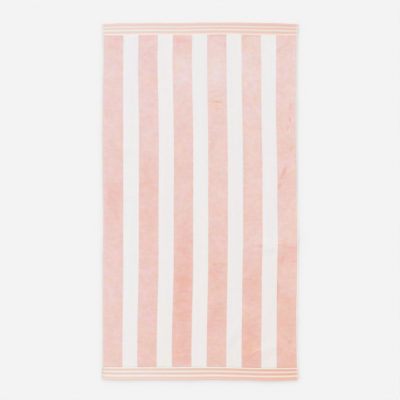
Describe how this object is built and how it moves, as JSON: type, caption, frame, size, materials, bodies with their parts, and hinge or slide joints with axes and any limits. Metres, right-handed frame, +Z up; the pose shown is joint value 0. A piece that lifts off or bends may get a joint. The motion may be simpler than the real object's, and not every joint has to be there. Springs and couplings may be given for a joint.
{
  "type": "beach towel",
  "caption": "Long rectangular velour beach towel lying spread out, with lengthwise stripes, flat woven end borders, turned hems and narrow selvedges.",
  "frame": {"origin": "centre of the towel's box, on the surface that it lies on", "axes": "+X across the towel, +Y along it, +Z up from the surface, with the pile face up"},
  "size_m": [0.992, 1.8042, 0.0066],
  "materials": {
    "cotton_cloth": "matte"
  },
  "bodies": {
    "root": {"towel": "cotton_cloth"}
  },
  "joints": []
}
